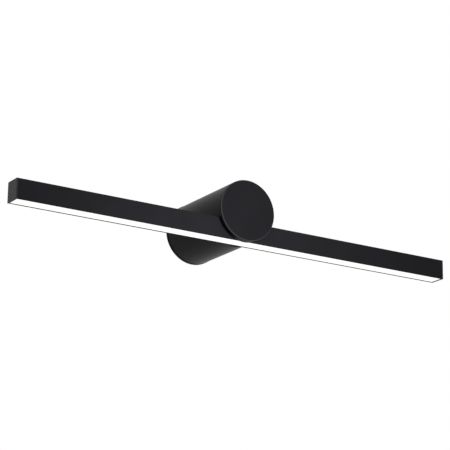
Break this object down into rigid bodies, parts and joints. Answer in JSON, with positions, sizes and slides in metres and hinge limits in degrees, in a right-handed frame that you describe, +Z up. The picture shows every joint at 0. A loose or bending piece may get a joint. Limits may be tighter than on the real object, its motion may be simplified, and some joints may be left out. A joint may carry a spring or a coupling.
{
  "type": "vanity light bar",
  "caption": "Slim black LED vanity bar with an opal diffuser underneath, held through a round can that stands off the wall on a levelling base.",
  "frame": {"origin": "centre of the can's axis on the wall plane, which is the wall bracket's back face", "axes": "+X along the bar, +Y into the wall, +Z up; the light stands off the wall along -Y"},
  "size_m": [0.61, 0.13, 0.0772],
  "materials": {
    "black_coat": "fine satin powder coat",
    "black_anodised": "black anodised, satin",
    "bare_aluminium": "as turned",
    "zinc_steel": "zinc plated sheet",
    "screw_steel": "zinc plated",
    "black_oxide": "black oxide",
    "black_rubber": "matte",
    "white_nylon": "moulded",
    "driver_plastic": "fine spark texture",
    "green_terminal": "moulded",
    "green_board": "solder mask",
    "white_board": "white solder mask on aluminium",
    "led_phosphor": "phosphor",
    "ferrite": "matte",
    "coil_tape": "polyester tape",
    "capacitor_sleeve": "shrink sleeve",
    "tinned_brass": "tinned",
    "brown_wire": "PVC insulation",
    "blue_wire": "PVC insulation",
    "earth_wire": "green and yellow PVC insulation",
    "lead_sheath": "white PVC sheath",
    "opal_diffuser": "opal, lit"
  },
  "bodies": {
    "bracket": {"wall_bracket": "zinc_steel", "bracket_studs": "zinc_steel", "level_nuts": "zinc_steel"},
    "base": {"base_cup": "black_coat", "cable_grommet": "black_rubber", "chassis_bracket": "zinc_steel", "chassis_screws": "zinc_steel", "terminal_block": "white_nylon", "terminal_screws": "screw_steel", "earth_screw": "screw_steel", "earth_terminal": "tinned_brass", "live_wire": "brown_wire", "neutral_wire": "blue_wire", "earth_wire": "earth_wire", "driver_case": "driver_plastic", "driver_lid": "driver_plastic", "driver_screws": "screw_steel", "driver_board": "green_board", "transformer_core": "ferrite", "transformer_winding": "coil_tape", "driver_capacitors": "capacitor_sleeve", "input_terminal": "green_terminal", "output_socket": "white_nylon"},
    "head": {"can_tube": "black_coat", "rear_collar": "bare_aluminium", "front_cap": "black_anodised", "bar_saddle": "zinc_steel", "saddle_screws": "screw_steel", "bar_clamp_screws": "screw_steel", "bar_nut_plates": "zinc_steel", "bar_profile": "black_anodised", "end_cap_left": "black_anodised", "end_cap_right": "black_anodised", "diffuser": "opal_diffuser", "led_board_left": "white_board", "led_board_right": "white_board", "led_chips": "led_phosphor", "lead_connector": "white_nylon", "lead_grommet": "black_rubber", "bar_lead": "lead_sheath", "lead_plug": "white_nylon"},
    "left_set_screw": {"set_screw_left": "black_oxide"},
    "right_set_screw": {"set_screw_right": "black_oxide"}
  },
  "joints": [
    {"name": "level", "type": "hinge", "parent": "bracket", "child": "base", "pos_m": [0, 0, 0], "axis": [0, 1, 0], "range_deg": [-10, 10]},
    {"name": "head_slide", "type": "slide", "parent": "base", "child": "head", "axis": [0, -1, 0], "range_m": [0, 0.1]},
    {"name": "left_screw_travel", "type": "slide", "parent": "head", "child": "left_set_screw", "axis": [-0.4226, 0, 0.9063], "range_m": [0, 0.003]},
    {"name": "right_screw_travel", "type": "slide", "parent": "head", "child": "right_set_screw", "axis": [0.4226, 0, 0.9063], "range_m": [0, 0.003]}
  ]
}
